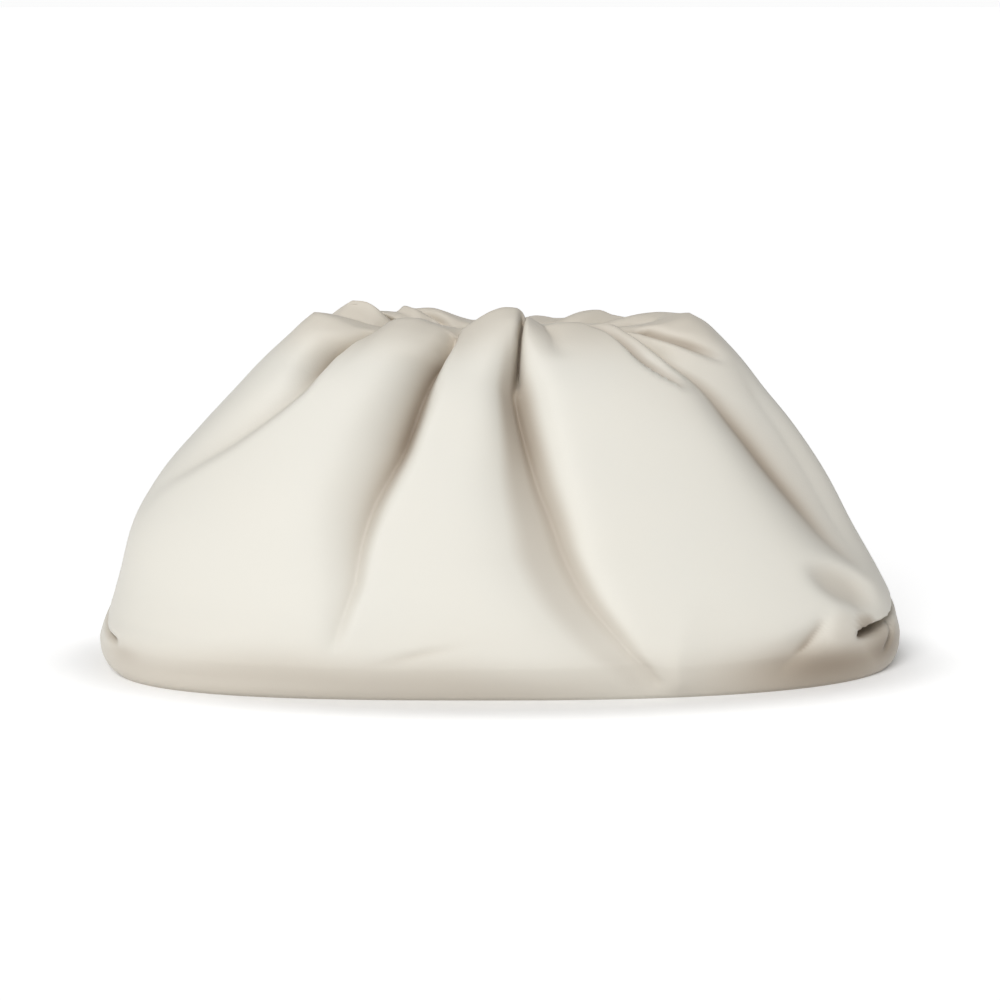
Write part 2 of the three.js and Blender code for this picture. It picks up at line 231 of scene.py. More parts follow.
FRONT_FOLDS = (
    Fold("left shoulder fold", (
        Station(1.060, -0.600, 1.5, 5.0, 3.0),
        Station(0.995, -0.645, 4.5, 6.0, 4.0),
        Station(0.965, -0.705, 9.0, 7.0, 6.0),
        Station(0.930, -0.712, 12.0, 8.0, 7.0),
        Station(0.895, -0.700, 12.0, 9.0, 7.0),
        Station(0.860, -0.685, 9.0, 10.0, 6.5),
        Station(0.820, -0.674, 6.5, 12.0, 6.0),
        Station(0.780, -0.688, 5.0, 14.0, 6.0),
        Station(0.720, -0.722, 4.0, 17.0, 6.0),
        Station(0.660, -0.768, 3.2, 18.0, 7.0),
        Station(0.600, -0.825, 2.3, 17.0, 8.0),
        Station(0.520, -0.900, 0.8, 14.0, 9.0),
        Station(0.450, -0.945, 0.0, 12.0, 9.0),
    ), left_edge=0.3, right_edge=0.14, right_lean=1.0),
    Fold("left valley", (
        Station(1.070, -0.235, 1.5, 5.0, 3.0),
        Station(1.000, -0.226, 6.0, 6.0, 3.0),
        Station(0.960, -0.240, 13.0, 8.0, 3.5),
        Station(0.915, -0.258, 16.5, 12.0, 5.0),
        Station(0.850, -0.262, 18.0, 14.0, 6.5),
        Station(0.770, -0.262, 18.0, 17.0, 7.5),
        Station(0.690, -0.264, 15.5, 19.0, 7.5),
        Station(0.600, -0.280, 12.5, 19.0, 8.0),
        Station(0.510, -0.294, 10.0, 17.0, 7.5),
        Station(0.410, -0.299, 7.5, 14.0, 6.5),
        Station(0.330, -0.304, 5.5, 12.0, 6.0),
        Station(0.250, -0.320, 3.8, 8.0, 5.0),
        Station(0.180, -0.328, 2.2, 6.0, 5.0),
        Station(0.130, -0.328, 0.0, 6.0, 5.0),
    ), left_edge=0.32, right_edge=0.14, right_lean=1.0, right_tone=0.72),
    Fold("middle slit", (
        Station(1.100, 0.170, 3.0, 3.0, 2.5),
        Station(1.030, 0.150, 6.0, 2.5, 2.0),
        Station(1.000, 0.112, 8.0, 2.5, 2.0),
        Station(0.980, 0.084, 10.0, 2.5, 2.0),
        Station(0.955, 0.068, 12.0, 3.0, 2.5),
        Station(0.900, 0.058, 13.0, 3.0, 3.0),
        Station(0.870, 0.057, 10.0, 3.0, 3.0),
        Station(0.838, 0.058, 0.0, 3.0, 3.0),
    ), left_edge=0.25, right_edge=0.25, left_lean=1.6, right_lean=1.6, crowd=1.6, tone=1.2, right_tone=0.6),
    Fold("middle valley", (
        Station(0.970, 0.036, 0.0, 4.0, 5.0),
        Station(0.940, 0.036, 3.0, 5.0, 6.0),
        Station(0.900, 0.036, 9.0, 6.0, 8.0),
        Station(0.850, 0.040, 13.5, 8.0, 10.0),
        Station(0.795, 0.052, 15.5, 9.0, 11.0),
        Station(0.700, 0.076, 15.0, 12.0, 11.0),
        Station(0.600, 0.106, 13.0, 17.0, 11.0),
        Station(0.475, 0.144, 11.5, 22.0, 10.0),
        Station(0.380, 0.164, 10.5, 25.0, 9.0),
        Station(0.286, 0.188, 9.0, 25.0, 9.0),
        Station(0.186, 0.238, 6.5, 24.0, 8.0),
        Station(0.110, 0.288, 4.5, 20.0, 7.0),
        Station(0.050, 0.322, 3.0, 16.0, 5.0),
        Station(0.000, 0.338, 1.0, 12.0, 5.0),
    ), left_edge=0.3, right_edge=0.32, right_lean=0.5, right_tone=0.75, left_tone=0.68),
    Fold("crest dimple", (
        Station(1.050, 0.210, 1.5, 6.0, 6.0),
        Station(0.985, 0.210, 3.5, 6.0, 6.0),
        Station(0.945, 0.208, 2.5, 5.0, 5.0),
        Station(0.905, 0.205, 0.0, 5.0, 5.0),
    ), left_edge=0.5, right_edge=0.5, crowd=0.5, tone=0.5),
    Fold("big panel's edge", (
        Station(1.060, 0.380, 1.0, 2.0, 8.0),
        Station(1.000, 0.412, 4.0, 2.0, 8.0),
        Station(0.982, 0.460, 5.5, 2.0, 8.0),
        Station(0.945, 0.485, 6.5, 2.0, 9.0),
        Station(0.910, 0.500, 6.5, 2.0, 9.0),
        Station(0.870, 0.540, 5.5, 2.0, 10.0),
        Station(0.840, 0.585, 4.0, 2.0, 9.0),
        Station(0.815, 0.630, 0.0, 3.0, 8.0),
    ), left_edge=0.2, right_edge=0.5, left_lean=3.0, crowd=1.6, tone=3.2, right_tone=0.5),
    Fold("right valley", (
        Station(1.015, 0.600, 2.5, 3.0, 5.0),
        Station(0.975, 0.622, 5.5, 3.0, 6.0),
        Station(0.935, 0.642, 7.0, 3.5, 8.0),
        Station(0.890, 0.662, 7.0, 5.0, 13.0),
        Station(0.850, 0.692, 8.0, 7.0, 19.0),
        Station(0.800, 0.718, 9.0, 11.0, 24.0),
        Station(0.726, 0.737, 10.5, 14.0, 28.0),
        Station(0.630, 0.760, 11.0, 17.0, 30.0),
        Station(0.539, 0.790, 10.5, 20.0, 30.0),
        Station(0.444, 0.820, 8.5, 22.0, 28.0),
        Station(0.380, 0.840, 6.0, 20.0, 26.0),
        Station(0.320, 0.870, 3.0, 18.0, 22.0),
        Station(0.270, 0.890, 0.0, 16.0, 18.0),
    ), left_edge=0.3, right_edge=0.8, tone=1.25, right_tone=0.25),
    Fold("right shoulder crease", (
        Station(1.050, 0.640, 1.0, 3.0, 5.0),
        Station(1.020, 0.665, 3.0, 3.0, 5.0),
        Station(0.990, 0.715, 4.0, 3.0, 6.0),
        Station(0.955, 0.775, 4.0, 4.0, 7.0),
        Station(0.910, 0.830, 2.5, 5.0, 7.0),
        Station(0.880, 0.860, 0.0, 6.0, 7.0),
    ), left_edge=0.3, right_edge=0.3, crowd=0.6, tone=3.6),
    Fold("foot ridge", (
        Station(0.280, 0.400, 0.0, 12.0, 12.0),
        Station(0.180, 0.375, -1.5, 9.0, 12.0),
        Station(0.100, 0.365, -2.0, 7.0, 10.0),
        Station(0.030, 0.372, -1.5, 6.0, 8.0),
        Station(0.000, 0.375, 0.0, 6.0, 8.0),
    ), left_edge=0.5, right_edge=0.5, crowd=0.5, tone=0.0),
    Fold("foot valley", (
        Station(0.215, 0.695, 0.0, 7.0, 6.0),
        Station(0.190, 0.688, 2.0, 9.0, 6.0),
        Station(0.160, 0.675, 3.6, 12.0, 6.5),
        Station(0.130, 0.655, 4.0, 16.0, 7.0),
        Station(0.100, 0.625, 3.0, 18.0, 8.0),
        Station(0.070, 0.600, 2.0, 18.0, 9.0),
        Station(0.030, 0.580, 0.5, 16.0, 10.0),
        Station(0.000, 0.575, 0.0, 16.0, 10.0),
    ), left_edge=0.4, right_edge=0.25, crowd=0.8, tone=2.6, right_tone=0.3),
    Fold("lobe crease", (
        Station(0.165, 0.925, 0.0, 3.0, 2.0),
        Station(0.142, 0.915, 3.0, 3.0, 2.0),
        Station(0.115, 0.900, 3.5, 3.0, 2.0),
        Station(0.085, 0.875, 2.0, 3.0, 2.5),
        Station(0.062, 0.855, 0.0, 3.0, 3.0),
    ), left_edge=0.3, right_edge=0.2, crowd=0.8, tone=3.0),
)

BACK_FOLDS = (
    Fold("left shoulder fold", (
        Station(1.00, -0.660, 2.0, 9.0, 7.0),
        Station(0.85, -0.680, 10.0, 14.0, 9.0),
        Station(0.60, -0.740, 7.0, 18.0, 12.0),
        Station(0.35, -0.800, 2.5, 18.0, 14.0),
        Station(0.22, -0.820, 0.0, 18.0, 14.0),
    )),
    Fold("left valley", (
        Station(1.00, -0.440, 2.0, 9.0, 8.0),
        Station(0.85, -0.380, 13.0, 14.0, 10.0),
        Station(0.60, -0.420, 10.0, 18.0, 14.0),
        Station(0.35, -0.460, 5.0, 18.0, 16.0),
        Station(0.16, -0.500, 0.0, 18.0, 16.0),
    ), left_lean=1.5),
    Fold("middle valley", (
        Station(1.10, 0.040, 1.0, 6.0, 5.0),
        Station(1.00, 0.040, 4.0, 8.0, 6.0),
        Station(0.85, 0.020, 14.0, 12.0, 9.0),
        Station(0.60, -0.030, 12.0, 17.0, 13.0),
        Station(0.35, -0.060, 7.0, 18.0, 15.0),
        Station(0.12, -0.080, 1.5, 18.0, 15.0),
        Station(0.05, -0.080, 0.0, 18.0, 15.0),
    ), right_edge=0.2, right_lean=2.5, crowd=1.2),
    Fold("right valley", (
        Station(1.00, 0.330, 3.0, 8.0, 8.0),
        Station(0.85, 0.370, 11.0, 12.0, 12.0),
        Station(0.60, 0.430, 8.0, 16.0, 18.0),
        Station(0.35, 0.500, 3.5, 18.0, 20.0),
        Station(0.18, 0.540, 0.0, 18.0, 20.0),
    ), left_lean=1.5),
    Fold("right shoulder fold", (
        Station(1.00, 0.640, 2.0, 8.0, 7.0),
        Station(0.85, 0.670, 9.0, 12.0, 10.0),
        Station(0.60, 0.740, 7.0, 16.0, 15.0),
        Station(0.35, 0.820, 2.5, 16.0, 16.0),
        Station(0.22, 0.840, 0.0, 16.0, 16.0),
    )),
    Fold("left lip crease", (
        Station(0.95, -0.740, 0.0, 4.0, 2.0),
        Station(0.99, -0.712, 3.0, 4.0, 2.0),
        Station(1.02, -0.690, 5.0, 4.0, 2.0),
        Station(1.06, -0.662, 5.5, 4.0, 2.0),
        Station(1.10, -0.635, 5.0, 4.0, 2.0),
        Station(1.12, -0.620, 3.0, 4.0, 3.0),
    ), left_edge=0.4, right_edge=0.2, right_lean=1.2, crowd=1.2),
    Fold("second lip crease", (
        Station(1.00, -0.490, 0.0, 2.0, 4.0),
        Station(1.03, -0.455, 2.0, 2.0, 4.0),
        Station(1.06, -0.410, 3.5, 2.0, 4.0),
        Station(1.10, -0.370, 3.5, 2.0, 4.0),
        Station(1.12, -0.350, 2.0, 3.0, 4.0),
    ), left_edge=0.2, right_edge=0.4, left_lean=1.0, crowd=1.2),
)


class CrestPoint(NamedTuple):
    """How far a lip's crest stands above the plain one at a place, in millimetres."""

    share: float
    rise: float


FRONT_CREST = (
    CrestPoint(-1.000, 0.0), CrestPoint(-0.950, 0.0), CrestPoint(-0.900, -0.8), CrestPoint(-0.850, -2.0),
    CrestPoint(-0.800, -4.0), CrestPoint(-0.720, -6.2), CrestPoint(-0.640, -6.4), CrestPoint(-0.600, -5.8),
    CrestPoint(-0.550, -3.0), CrestPoint(-0.500, -1.4), CrestPoint(-0.450, -1.4), CrestPoint(-0.340, -4.6),
    CrestPoint(-0.190, -6.0), CrestPoint(-0.150, -3.8), CrestPoint(-0.100, -0.6), CrestPoint(-0.040, 2.2),
    CrestPoint(0.020, 3.6), CrestPoint(0.070, 3.4), CrestPoint(0.105, 2.2), CrestPoint(0.150, 0.0),
    CrestPoint(0.190, -1.4), CrestPoint(0.250, -3.0), CrestPoint(0.400, -3.4), CrestPoint(0.520, -3.6),
    CrestPoint(0.645, -6.0), CrestPoint(0.800, -4.8), CrestPoint(0.920, -2.4), CrestPoint(1.000, 0.0),
)

BACK_CREST = (
    CrestPoint(-1.000, -1.0), CrestPoint(-0.900, -4.5), CrestPoint(-0.840, -4.0), CrestPoint(-0.790, 1.5),
    CrestPoint(-0.745, 5.2), CrestPoint(-0.700, 3.2), CrestPoint(-0.610, -0.6), CrestPoint(-0.540, -1.5),
    CrestPoint(-0.490, 2.0), CrestPoint(-0.450, 1.6), CrestPoint(-0.360, 0.4), CrestPoint(-0.300, -1.4),
    CrestPoint(-0.200, -4.8), CrestPoint(-0.140, -6.0), CrestPoint(0.100, -5.0), CrestPoint(0.180, -3.8),
    CrestPoint(0.250, -4.0), CrestPoint(0.340, -1.8), CrestPoint(0.430, -1.0), CrestPoint(0.490, -1.0),
    CrestPoint(0.570, -2.8), CrestPoint(0.650, -2.7), CrestPoint(0.740, -2.1), CrestPoint(0.810, -1.7),
    CrestPoint(0.930, -2.0), CrestPoint(1.000, -1.5),
)


class TuckPoint(NamedTuple):
    """One place on a corner tuck's line.

    from_end is the way round from the end of the bag, in half fronts. height is the line's height as a
    share of the bag's, and depth, above and below are the tuck's depth and the widths of its two flanks,
    in millimetres.
    """

    from_end: float
    height: float
    depth: float
    above: float
    below: float


@dataclass(frozen=True)
class Tuck:
    """A tuck at a lower corner, where the wall hangs over the lobe below it.

    Attributes:
        side: front or back.
        end: -1 for the left end, 1 for the right.
        line: its line, from the end of the bag round to where it stops.
        droop: how far the wall hangs down over it, in millimetres.
        hang_from: where the hanging part sets in, in widths of the upper flank.
        hang_to: where it dies out.
        below_edge: softness of the lower flank's edge, as for a Fold.
        above_edge: softness of the upper flank's edge.
        full_depth: depth from which it hangs fully and has its full painted shade, in millimetres.
    """

    side: Side
    end: int
    line: tuple[TuckPoint, ...]
    droop: float = 3.0
    hang_from: float = 0.6
    hang_to: float = 3.5
    below_edge: float = 0.2
    above_edge: float = 0.15
    full_depth: float = 10.0

    def column(self, name: str, from_end: np.ndarray) -> np.ndarray:
        """Reads one column of the line at some places, in the units of TuckPoint."""
        return read_rows(self.line, "from_end", name, from_end)


TUCKS = (
    Tuck(Side.FRONT, -1, (
        TuckPoint(0.000, 0.200, 6.0, 2.0, 3.5),
        TuckPoint(0.040, 0.180, 9.0, 2.0, 3.0),
        TuckPoint(0.090, 0.152, 11.0, 1.8, 2.5),
        TuckPoint(0.130, 0.132, 9.0, 1.8, 2.5),
        TuckPoint(0.160, 0.118, 4.0, 2.0, 3.0),
        TuckPoint(0.185, 0.106, 0.0, 4.0, 5.0),
    )),
    Tuck(Side.BACK, -1, (
        TuckPoint(0.000, 0.200, 6.0, 2.5, 4.0),
        TuckPoint(0.060, 0.180, 9.0, 2.5, 5.0),
        TuckPoint(0.160, 0.160, 10.0, 3.0, 6.0),
        TuckPoint(0.260, 0.152, 0.0, 6.0, 8.0),
    )),
    Tuck(Side.FRONT, 1, (
        TuckPoint(0.000, 0.205, 6.0, 2.5, 3.5),
        TuckPoint(0.050, 0.182, 9.0, 2.5, 3.5),
        TuckPoint(0.090, 0.164, 14.0, 2.5, 3.0),
        TuckPoint(0.130, 0.150, 20.0, 3.0, 3.0),
        TuckPoint(0.170, 0.141, 22.0, 4.0, 2.5),
        TuckPoint(0.200, 0.136, 14.0, 4.0, 2.0),
        TuckPoint(0.225, 0.134, 0.0, 3.0, 2.0),
    )),
    Tuck(Side.BACK, 1, (
        TuckPoint(0.000, 0.205, 6.0, 2.5, 3.5),
        TuckPoint(0.070, 0.175, 9.0, 2.5, 5.0),
        TuckPoint(0.180, 0.150, 10.0, 3.0, 6.0),
        TuckPoint(0.280, 0.146, 0.0, 6.0, 8.0),
    )),
)


class Dent(NamedTuple):
    """A shallow dent, or with a negative depth a bulge, about one place on the front.

    share and height place its middle, along and up are its half-widths and turn the way that its long
    side climbs to the right, in degrees. depth, along and up are in millimetres. crisp is the power of its
    profile: 2 is a soft hollow and 4 a flat one with a rim. tone is how much shade is painted on it, and one
    with no depth is only a patch of painted shade.
    """

    share: float
    height: float
    depth: float
    along: float
    up: float
    turn: float
    crisp: float
    tone: float


# The dents with no depth are only patches of painted shade: on the upper right, the right end, at the right
# tuck and at the right lower corner.
FRONT_DENTS = (
    Dent(0.775, 0.277, 4.5, 17.0, 8.5, -28.0, 4.0, 0.38),
    Dent(0.735, 0.158, -1.2, 9.0, 9.0, 0.0, 4.0, 0.22),
    Dent(0.700, 0.060, 1.0, 50.0, 13.0, 0.0, 2.0, 0.45),
    Dent(0.870, 0.090, 0.0, 22.0, 12.0, 0.0, 2.0, 0.60),
    Dent(0.800, 0.165, 0.0, 7.0, 6.0, 0.0, 4.0, 0.75),
    Dent(0.780, 0.870, 0.0, 42.0, 26.0, 0.0, 2.0, 0.20),
    Dent(0.920, 0.560, 0.0, 24.0, 60.0, 0.0, 2.0, 0.14),
    Dent(-0.800, 0.085, 1.5, 12.0, 4.0, 0.0, 2.0, 0.15),
    Dent(-0.150, 0.140, 1.5, 16.0, 2.5, 14.0, 2.0, 0.15),
)


def smooth_step(low: float, high: float, value: np.ndarray) -> np.ndarray:
    """Goes from 0 at low to 1 at high with level ends.

    Args:
        low: where the step starts.
        high: where it ends.
        value: places to read it at.

    Returns:
        The step's value at each place.
    """
    u = np.clip((value - low) / (high - low), 0.0, 1.0)
    return u * u * (3.0 - 2.0 * u)


def smooth_table(places: list[float], values: list[float], at: np.ndarray) -> np.ndarray:
    """Reads a table between its rows, on a monotone cubic curve, and level beyond its ends.

    Args:
        places: rising places of the rows.
        values: the rows' values.
        at: places to read.

    Returns:
        The values there.
    """
    xs, ys = np.asarray(places, float), np.asarray(values, float)
    step = np.diff(ys) / np.diff(xs)
    turn = step[:-1] * step[1:] <= 0
    inner = np.where(turn, 0.0, 2 * step[:-1] * step[1:] / np.where(turn, 1.0, step[:-1] + step[1:]))
    slope = np.concatenate([step[:1], inner, step[-1:]])
    at = np.clip(np.asarray(at, float), xs[0], xs[-1])
    k = np.clip(np.searchsorted(xs, at, side="right") - 1, 0, len(xs) - 2)
    span = xs[k + 1] - xs[k]
    u = (at - xs[k]) / span
    start = (1 + 2 * u) * (1 - u) ** 2 * ys[k] + u * (1 - u) ** 2 * span * slope[k]
    return start + u**2 * (3 - 2 * u) * ys[k + 1] + u**2 * (u - 1) * span * slope[k + 1]


def read_rows(rows: tuple[NamedTuple, ...], key: str, name: str, at: np.ndarray) -> np.ndarray:
    """Reads one column of a table, on a smooth curve.

    Args:
        rows: the table's rows, in any order.
        key: the column that gives the rows' places.
        name: the column to read.
        at: places to read it at.

    Returns:
        The column's values there.
    """
    ordered = sorted(rows, key=lambda row: getattr(row, key))
    return smooth_table([getattr(row, key) for row in ordered], [getattr(row, name) for row in ordered], at)


def bell(offset: np.ndarray, width: float) -> np.ndarray:
    """A bell curve, which is 1 at no offset."""
    return np.exp(-((offset / width) ** 2))


def running_sum(weight: np.ndarray) -> np.ndarray:
    """Adds up a weight along a line, from 0."""
    return np.concatenate([[0.0], np.cumsum((weight[1:] + weight[:-1]) / 2)])


def unit(vectors: np.ndarray) -> np.ndarray:
    """Scales vectors in the last axis to length 1."""
    return vectors / np.maximum(np.linalg.norm(vectors, axis=-1, keepdims=True), 1e-12)


@dataclass
class Wire:
    """An output socket whose maths is written with Python's operators."""

    sheet: "NodeSheet"
    socket: bpy.types.NodeSocket

    def maths(self, operation: str, *values: "Wire | float") -> "Wire":
        """Adds a Math node.

        Args:
            operation: the node's operation.
            values: its inputs, this wire among them.

        Returns:
            The node's output.
        """
        return self.sheet.wire("ShaderNodeMath", "Value", {"operation": operation}, dict(enumerate(values)))

    def __add__(self, other: "Wire | float") -> "Wire":
        """Adds."""
        return self.maths("ADD", self, other)

    __radd__ = __add__

    def __mul__(self, other: "Wire | float") -> "Wire":
        """Multiplies."""
        return self.maths("MULTIPLY", self, other)

    def __sub__(self, other: "Wire | float") -> "Wire":
        """Subtracts."""
        return self.maths("SUBTRACT", self, other)

    def __rsub__(self, other: "Wire | float") -> "Wire":
        """Subtracts this from a number."""
        return self.maths("SUBTRACT", other, self)

    def __pow__(self, other: "Wire | float") -> "Wire":
        """Raises to a power."""
        return self.maths("POWER", self, other)


class NodeSheet:
    """The nodes of one material or of the sky."""

    def __init__(self, block: bpy.types.Material | bpy.types.World, shader: str = "Principled BSDF") -> None:
        """Takes up a new block's own nodes.

        Args:
            block: the material or world.
            shader: the name of its shader node.
        """
        block.use_nodes = True
        self.block = block
        self.tree = block.node_tree
        self.shader = self.tree.nodes[shader]

    def node(self, kind: str, settings: dict | None = None, inputs: dict | None = None) -> bpy.types.Node:
        """Adds a node.

        Args:
            kind: the node's type.
            settings: its properties, set first, with a ramp's stops as {"stops": [(place, colour), ...]}.
            inputs: a value or a Wire for each named or numbered input.

        Returns:
            The new node.
        """
        made = self.tree.nodes.new(kind)
        for name, value in (settings or {}).items():
            if name == "stops":
                self._set_stops(made.color_ramp, value)
            else:
                setattr(made, name, value)
        self.feed(made, inputs or {})
        return made

    def feed(self, node: bpy.types.Node, inputs: dict) -> None:
        """Sets or links a node's inputs.

        Args:
            node: the node.
            inputs: a value or a Wire for each named or numbered input.
        """
        for key, value in inputs.items():
            if isinstance(value, Wire):
                self.tree.links.new(value.socket, node.inputs[key])
            else:
                node.inputs[key].default_value = value

    def noise(self, place: Wire, scale: float, detail: float = 2.0, roughness: float = 0.5) -> Wire:
        """Adds a noise.

        Args:
            place: where it is looked up.
            scale: how many times it turns in a unit of place, roughly.
            detail: how many finer layers it has.
            roughness: strength of each finer layer, as a share of the one before.

        Returns:
            The noise, from 0 to 1.
        """
        look = {"Vector": place, "Scale": scale, "Detail": detail, "Roughness": roughness}
        return self.wire("ShaderNodeTexNoise", "Fac", None, look)

    def stretched(self, place: Wire, scale: tuple[float, float, float]) -> Wire:
        """Scales a place along each axis."""
        return self.wire("ShaderNodeMapping", "Vector", None, {"Vector": place, "Scale": scale})

    def bump(self, height: Wire) -> Wire:
        """Turns a height in metres into a normal."""
        return self.wire("ShaderNodeBump", "Normal", None, {"Height": height, "Distance": 1.0})

    def wire(self, kind: str, output: str, settings: dict | None = None, inputs: dict | None = None) -> Wire:
        """Adds a node and gives one of its outputs.

        Args:
            kind: the node's type.
            output: the output's name.
            settings: as for node.
            inputs: as for node.

        Returns:
            The output as a Wire.
        """
        return Wire(self, self.node(kind, settings, inputs).outputs[output])

    @staticmethod
    def _set_stops(ramp: bpy.types.ColorRamp, stops: list[tuple[float, tuple]]) -> None:
        """Gives a ramp its stops."""
        while len(ramp.elements) < len(stops):
            ramp.elements.new(1.0)
        for element, (place, colour) in zip(ramp.elements, stops):
            element.position = place
            element.color = colour

    def mix(self, factor: Wire, low: Wire | tuple, high: Wire | tuple) -> Wire:
        """Mixes two colours.

        Args:
            factor: 0 for the low colour, 1 for the high one.
            low: a colour.
            high: a colour.

        Returns:
            The mixed colour.
        """
        node = self.node("ShaderNodeMix", {"data_type": "RGBA"}, {0: factor, 6: low, 7: high})
        return Wire(self, node.outputs[2])


def grey(level: float) -> Colour:
    """A grey of one level."""
    return (level, level, level, 1.0)


@dataclass(frozen=True)
class LeatherFinish:
    """Smooth cream nappa leather with a faint grain, and painted shade in its folds, tucks, dents, foot and
    gathered top.

    Attributes:
        light: its colour on the open panels.
        fold_shade: painted shade deep in the folds, darker and warmer, standing in for the shadow there and
            for light that goes from leather to leather.
        crease: a darker painted shade along the very line of the deepest folds.
        cool: its colour in the cooler clouds.
        gathered: painted shade near the mouth, which makes the gathered top darker and warmer.
        roughness: of the open panels.
        grain: size of one cell of the grain.
        grain_height: height of the grain.
        cloud_scale: clouds of the cool colour in a metre.
        fine_scale: specks of the finest relief in a metre.
        wrinkle_scale: wrinkles in a metre across the sheet and along it.
        wrinkle_height: height of the small wrinkles that run from the gathers.
    """

    light: Colour = (0.765, 0.737, 0.662, 1.0)
    fold_shade: Colour = (0.405, 0.335, 0.258, 1.0)
    crease: Colour = (0.215, 0.170, 0.126, 1.0)
    cool: Colour = (0.745, 0.727, 0.664, 1.0)
    gathered: Colour = (0.665, 0.605, 0.512, 1.0)
    roughness: float = 0.52
    grain: float = 0.9 * MM
    grain_height: float = 0.02 * MM
    cloud_scale: float = 22.0
    fine_scale: float = 900.0
    wrinkle_scale: tuple[float, float, float] = (170.0, 26.0, 1.0)
    wrinkle_height: float = 0.12 * MM

    def material(self, name: str) -> bpy.types.Material:
        """Makes the material.

        Args:
            name: the material's name.

        Returns:
            The material.
        """
        sheet = NodeSheet(bpy.data.materials.new(name))
        place = sheet.wire("ShaderNodeTexCoord", "Object")
        along = sheet.wire("ShaderNodeUVMap", "UV", {"uv_map": PouchBody.UV_NAME})
        # deep is the painted shade of the folds, tucks, dents and foot.
        deep = sheet.wire("ShaderNodeAttribute", "Fac", {"attribute_name": PouchBody.PAINTED_SHADE_NAME})
        gather = sheet.wire("ShaderNodeAttribute", "Fac", {"attribute_name": PouchBody.GATHER_NAME})
        cloud = sheet.noise(place, self.cloud_scale, 3.0, 0.55)
        fine = sheet.noise(place, self.fine_scale)
        cells = sheet.wire(
            "ShaderNodeTexVoronoi",
            "Distance",
            {"feature": "SMOOTH_F1"},
            {"Vector": place, "Scale": 1.0 / self.grain, "Smoothness": 0.6},
        )
        wrinkles = sheet.noise(sheet.stretched(along, self.wrinkle_scale), 1.0, 4.0)
        open_colour = sheet.mix(cloud, self.light, self.cool)
        # Painted shade: the gathered top darker and warmer.
        top_shade_colour = sheet.mix(gather * 0.8, open_colour, self.gathered)
        # Painted shade in the folds, tucks and dents and at the foot.
        fold_shade_colour = sheet.mix(deep, top_shade_colour, self.fold_shade)
        # Painted shade, darker still along the lines of the deepest folds.
        colour = sheet.mix(deep ** 5.0 * 0.8, fold_shade_colour, self.crease)
        height = (
            (1.0 - cells) * self.grain_height
            + fine * (self.grain_height * 0.6)
            + wrinkles * gather * self.wrinkle_height
        )
        rough = self.roughness + (cloud - 0.5) * 0.10 + (cells - 0.5) * 0.06
        sheet.feed(
            sheet.shader,
            {
                "Base Color": colour,
                "Roughness": rough,
                "Normal": sheet.bump(height),
                "Specular IOR Level": 0.35,
                "Sheen Weight": 0.08,
                "Sheen Roughness": 0.6,
            },
        )
        return sheet.block


@dataclass(frozen=True)
class SteelFinish:
    """Brushed steel bar.

    Attributes:
        colour: of the metal.
        roughness: across the brushing.
        mark_scale: brush marks in a metre along each axis.
        brushing: height of the brush marks.
    """

    colour: Colour = (0.62, 0.61, 0.58, 1.0)
    roughness: float = 0.34
    mark_scale: tuple[float, float, float] = (60.0, 900.0, 2400.0)
    brushing: float = 0.01 * MM

    def material(self, name: str) -> bpy.types.Material:
        """Makes the material.

        Args:
            name: the material's name.

        Returns:
            The material.
        """
        sheet = NodeSheet(bpy.data.materials.new(name))
        place = sheet.wire("ShaderNodeTexCoord", "Object")
        marks = sheet.noise(sheet.stretched(place, self.mark_scale), 1.0, 3.0)
        sheet.feed(
            sheet.shader,
            {
                "Base Color": self.colour,
                "Metallic": 1.0,
                "Roughness": self.roughness + (marks - 0.5) * 0.12,
                "Normal": sheet.bump(marks * self.brushing),
            },
        )
        return sheet.block


@dataclass(frozen=True)
class FloorFinish:
    """A white light table: matt white, glowing with a little light of its own, with the glow dimmed close to
    the bag as a painted contact shadow.

    Attributes:
        white: tone of the surface.
        mottle: how far it varies.
        near_glow: its own light close to the bag, kept low to paint a soft contact shadow there.
        far_glow: its own light away from the bag.
        stretch: how much longer than deep the painted shadow is.
        near: how far out along the bag the near glow reaches.
        far: where the far glow starts.
    """

    white: float = 0.93
    mottle: float = 0.01
    near_glow: float = 0.04
    far_glow: float = 0.42
    stretch: float = 2.1
    near: float = 0.175
    far: float = 0.235

    def material(self, name: str) -> bpy.types.Material:
        """Makes the material.

        Args:
            name: the material's name.

        Returns:
            The material.
        """
        sheet = NodeSheet(bpy.data.materials.new(name))
        place = sheet.wire("ShaderNodeTexCoord", "Object")
        tone = sheet.noise(place, 3.0)
        oval = sheet.stretched(place, (1.0, self.stretch, 1.0))
        reach = sheet.wire("ShaderNodeVectorMath", "Value", {"operation": "LENGTH"}, {"Vector": oval})
        # The painted contact shadow: the glow is near_glow in an oval about the bag and far_glow beyond it.
        away = sheet.wire(
            "ShaderNodeMapRange",
            "Result",
            {"interpolation_type": "SMOOTHSTEP"},
            {"Value": reach, "From Min": self.near, "From Max": self.far},
        )
        sheet.feed(
            sheet.shader,
            {
                "Base Color": sheet.mix(tone, grey(self.white - self.mottle), grey(self.white)),
                "Roughness": 0.95,
                "Specular IOR Level": 0.0,
                "Emission Color": sheet.mix(away, grey(self.near_glow), grey(self.far_glow)),
                "Emission Strength": 1.0,
            },
        )
        return sheet.block


